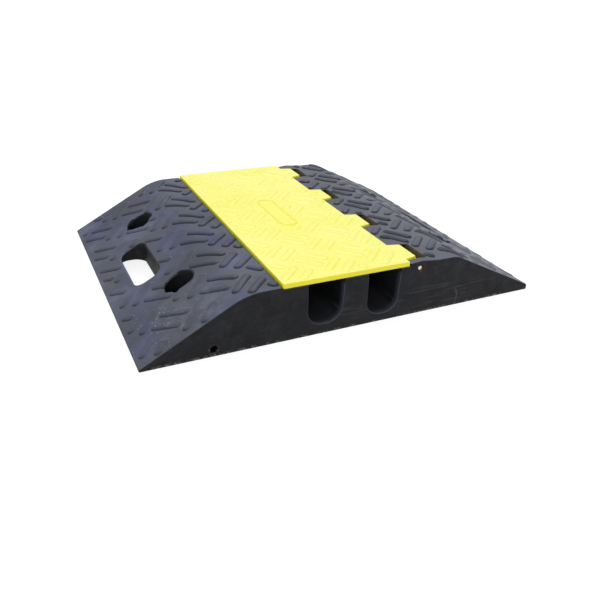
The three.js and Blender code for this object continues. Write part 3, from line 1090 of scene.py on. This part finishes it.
    # painted light on the sloped lip of each tab pocket, and a painted brown cast of light bounced from the
    # yellow lid down in the hinge gap
    lip = n.times(n.fit(x, *limits["lipStart"]), n.fit(x, *limits["lipEnd"]), n.fit(z, *limits["lipHeight"]))
    ground = n.mix(n.times(lip, onSide, insideEnds), ground, look["pocketLipLight"])
    inGap = n.times(n.fit(z, *limits["gapTop"]), n.fit(z, *limits["gapFloor"]))
    inGap = n.times(inGap, n.fit(x, *limits["gapStart"]), n.fit(x, *limits["gapEnd"]))
    inGap = n.times(inGap, n.fit(sizeY, *limits["gapEnds"]))
    ground = n.mix(inGap, ground, look["gapBounceLight"])
    # the rounded rims of the channels catch a bluish light at both end faces
    atRim = n.times(n.fit(sizeY, *limits["rimStart"]), n.fit(n.size(facing[1]), *limits["rimTurned"]))
    atRim = n.times(atRim, n.fit(z, *limits["rimTop"]), n.fit(z, *limits["rimFloor"]))
    atRim = n.times(atRim, n.fit(sizeX, *limits["rimSides"]), shares["rimSheen"])
    ground = n.mix(atRim, ground, look["rimSheen"])
    n.link(ground, n.shader.inputs["Base Color"])
    smoother = n.times(largest(n, wipedAndShaded, flank), shares["smoother"])
    rough = n.work("SUBTRACT", n.fit(clouds, 0.3, 0.75, 0.5, 0.72), smoother)
    n.link(rough, n.shader.inputs["Roughness"])
    n.shader.inputs["Specular IOR Level"].default_value = look["specular"]
    skin = n.bump(grain, 0.12 * mm, 0.7)
    skin = n.bump(clouds, 0.7 * mm, 0.6, skin)
    skin = n.bump(n.work("SUBTRACT", 0.0, largest(n, lines, marks)), 0.25 * mm, 0.6, skin)
    n.link(skin, n.shader.inputs["Normal"])
    return n.material


lidLook = {
    "yellow": (0.885, 0.85, 0.125),
    "pale": (0.905, 0.875, 0.2),
    # deeper yellow for the painted shade on the sides and the bars' feet, also laid on the badge
    "deep": (0.97, 0.86, 0.03),
    "grime": (0.5, 0.42, 0.12),
    "badgeReach": (0.024, 0.085),
    "specular": 0.4,
    # how strongly the painted shade on the sides and on the bars' feet, the badge and the marks show
    "sideShadeShare": 0.95,
    "footShadeShare": 0.2,
    "badgeShare": 0.3,
    "markShare": 0.16,
}


def lidMaterial():
    look = lidLook
    n = NodeBook("yellowPolyurethane")
    facing = n.parts(n.coordinates.outputs["Normal"])
    up = n.fit(facing[2], 0.3, 0.9)
    patches = n.noise(11, 4, 0.6)
    clouds = n.noise(60, 5, 0.6)
    tread = n.attribute("tread")
    ground = n.mix(n.fit(patches, 0.3, 0.7), look["yellow"], look["pale"])
    onSide = n.fit(up, 0, 1, 1, 0)
    # the sides get the deeper yellow as painted shade
    ground = n.mix(n.times(onSide, look["sideShadeShare"]), ground, look["deep"])
    # the bars' feet get it too, as painted shade in the creases
    foot = n.times(n.fit(tread, 0.02, 0.12), n.fit(tread, 0.75, 0.35))
    ground = n.mix(n.times(foot, look["footShadeShare"]), ground, look["deep"])
    place = n.parts(n.place)
    onBadge = n.times(patch(n, place[0], place[1], lidShape["badgeMiddle"], look["badgeReach"]), up)
    ground = n.mix(n.times(onBadge, look["badgeShare"]), ground, look["deep"])
    scratch = n.noise(1, 2, 0.4, n.stretched((18, 430, 18), (0, 0, math.radians(-35))))
    lines = n.times(n.fit(scratch, 0.68, 0.75), n.fit(clouds, 0.45, 0.65))
    grime = n.times(n.fit(n.noise(150, 5, 0.7), 0.62, 0.8), n.fit(patches, 0.45, 0.7))
    ground = n.mix(n.times(largest(n, lines, grime), look["markShare"]), ground, look["grime"])
    n.link(ground, n.shader.inputs["Base Color"])
    n.link(n.fit(clouds, 0.3, 0.7, 0.38, 0.52), n.shader.inputs["Roughness"])
    n.shader.inputs["Specular IOR Level"].default_value = look["specular"]
    skin = n.bump(n.noise(500, 3, 0.6), 0.08 * mm, 0.5)
    skin = n.bump(clouds, 0.5 * mm, 0.35, skin)
    n.link(skin, n.shader.inputs["Normal"])
    return n.material


rodLook = {"steel": (0.62, 0.61, 0.6), "dull": (0.32, 0.3, 0.28), "rust": (0.2, 0.1, 0.05)}


def rodMaterial():
    look = rodLook
    n = NodeBook("drawnSteel")
    drawn = n.noise(1, 3, 0.5, n.stretched((900, 12, 900)))
    blotches = n.noise(180, 4, 0.6)
    ground = n.mix(n.fit(blotches, 0.45, 0.7), look["steel"], look["dull"])
    ground = n.mix(n.times(n.fit(n.noise(420, 4, 0.7), 0.6, 0.75), 0.6), ground, look["rust"])
    n.link(ground, n.shader.inputs["Base Color"])
    n.shader.inputs["Metallic"].default_value = 1.0
    n.link(n.fit(blotches, 0.3, 0.7, 0.28, 0.5), n.shader.inputs["Roughness"])
    n.link(n.bump(drawn, 0.05 * mm, 0.5), n.shader.inputs["Normal"])
    return n.material


def dress(obj, material):
    obj.data.materials.clear()
    obj.data.materials.append(material)
    for face in obj.data.polygons:
        face.material_index = 0


studio = {
    "floorHalf": 14.0,
    "floorSeen": (0.3, 0.3, 0.3),
    "floorGlow": 0.86,
    "floorDrop": 0.1 * mm,
    "floorBounce": (0.6, 0.6, 0.6),
    "skySeen": (1.0, 1.0, 1.0),
    "skyLight": (0.55, 0.56, 0.585),
    # strength, softness, heading and height in degrees
    "keyLamp": (1.65, 30, 68, 52),
    "fillLamp": (0.82, 60, -115, 25),
}


def makeFloor():
    bm = bmesh.new()
    bmesh.ops.create_grid(bm, x_segments=8, y_segments=8, size=studio["floorHalf"])
    floor = linkMesh("studioFloor", bm)
    floor.location.z = -studio["floorDrop"]
    n = NodeBook("paleFloor")
    n.tree.nodes.remove(n.coordinates)
    seen = cameraKinds(n)
    n.link(n.mix(seen, studio["floorBounce"], studio["floorSeen"]), n.shader.inputs["Base Color"])
    n.shader.inputs["Roughness"].default_value = 1.0
    n.shader.inputs["Specular IOR Level"].default_value = 0.0
    n.shader.inputs["Emission Color"].default_value = (1, 1, 1, 1)
    n.link(n.times(seen, studio["floorGlow"]), n.shader.inputs["Emission Strength"])
    dress(floor, n.material)


def cameraKinds(n):
    path = n.add("ShaderNodeLightPath")
    seen = n.work("MAXIMUM", path.outputs["Is Camera Ray"], path.outputs["Is Glossy Ray"])
    return n.work("MAXIMUM", seen, path.outputs["Is Transmission Ray"])


def makeSky():
    world = bpy.data.worlds.new("studioSky")
    bpy.context.scene.world = world
    world.use_nodes = True
    tree = world.node_tree
    background = tree.nodes["Background"]
    path = tree.nodes.new("ShaderNodeLightPath")
    larger = tree.nodes.new("ShaderNodeMath")
    larger.operation = "MAXIMUM"
    tree.links.new(path.outputs["Is Camera Ray"], larger.inputs[0])
    tree.links.new(path.outputs["Is Transmission Ray"], larger.inputs[1])
    blend = tree.nodes.new("ShaderNodeMix")
    blend.data_type = "RGBA"
    tree.links.new(larger.outputs[0], blend.inputs[0])
    blend.inputs[6].default_value = (*studio["skyLight"], 1)
    blend.inputs[7].default_value = (*studio["skySeen"], 1)
    tree.links.new(blend.outputs[2], background.inputs["Color"])


def makeLamp(name, strength, softness, heading, height):
    data = bpy.data.lights.new(name, "SUN")
    data.energy = strength
    data.angle = math.radians(softness)
    lamp = bpy.data.objects.new(name, data)
    heading, height = math.radians(heading), math.radians(height)
    toward = Vector((
        math.cos(heading) * math.cos(height),
        math.sin(heading) * math.cos(height),
        math.sin(height),
    ))
    lamp.rotation_euler = toward.to_track_quat("Z", "Y").to_euler()
    bpy.context.scene.collection.objects.link(lamp)


base = makeBase()
dress(base, rubberMaterial())
lid = makeLid()
dress(lid, lidMaterial())
rod = makeRod()
dress(rod, rodMaterial())
print("pieces dressed")
makeFloor()
makeSky()
makeLamp("keyLamp", *studio["keyLamp"])
makeLamp("fillLamp", *studio["fillLamp"])
bpy.context.scene.view_settings.view_transform = "Standard"
print("studio ready")
